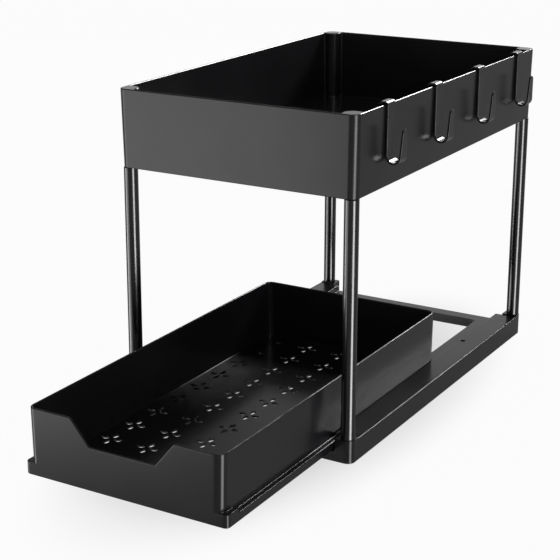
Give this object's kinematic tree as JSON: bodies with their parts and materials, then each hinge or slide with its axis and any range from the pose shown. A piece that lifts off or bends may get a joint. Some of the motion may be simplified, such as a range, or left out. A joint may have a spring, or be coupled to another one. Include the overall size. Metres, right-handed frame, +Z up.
{
  "type": "two-tier storage shelf",
  "caption": "Narrow two-tier organiser: an open tray on tube posts over a base frame with a pull-out perforated drawer, and hooks over the tray's rim.",
  "frame": {"origin": "on the floor, under the middle of the bounding box with the drawer pulled out as pictured", "axes": "+Z up, the drawer pulls out towards -Y, +X to the right of someone who faces the drawer's front"},
  "size_m": [0.257, 0.5734, 0.3145],
  "materials": {
    "frame_plastic": "satin black moulding",
    "tube": "gloss black painted steel tube",
    "tray_plastic": "satin black moulding",
    "drawer_plastic": "satin black moulding",
    "hook_plastic": "semi-gloss black moulding",
    "pad_rubber": "matt dark grey"
  },
  "bodies": {
    "shelf": {"base_frame": "frame_plastic", "upper_tray": "tray_plastic", "post_front_left": "tube", "post_front_right": "tube", "post_rear_left": "tube", "post_rear_right": "tube", "foot_pad_front_left": "pad_rubber", "foot_pad_front_right": "pad_rubber", "foot_pad_rear_left": "pad_rubber", "foot_pad_rear_right": "pad_rubber"},
    "drawer": {"drawer": "drawer_plastic"},
    "hook_1": {"hook_1": "hook_plastic"},
    "hook_2": {"hook_2": "hook_plastic"},
    "hook_3": {"hook_3": "hook_plastic"},
    "hook_4": {"hook_4": "hook_plastic"}
  },
  "joints": [
    {"name": "drawer_slide", "type": "slide", "parent": "shelf", "child": "drawer", "axis": [0, -1, 0], "range_m": [-0.17, 0.05]},
    {"name": "hook_1_slide", "type": "slide", "parent": "shelf", "child": "hook_1", "axis": [0, 1, 0], "range_m": [-0.033, 0.04]},
    {"name": "hook_2_slide", "type": "slide", "parent": "shelf", "child": "hook_2", "axis": [0, 1, 0], "range_m": [-0.04, 0.04]},
    {"name": "hook_3_slide", "type": "slide", "parent": "shelf", "child": "hook_3", "axis": [0, 1, 0], "range_m": [-0.04, 0.04]},
    {"name": "hook_4_slide", "type": "slide", "parent": "shelf", "child": "hook_4", "axis": [0, 1, 0], "range_m": [-0.04, 0.021]}
  ]
}
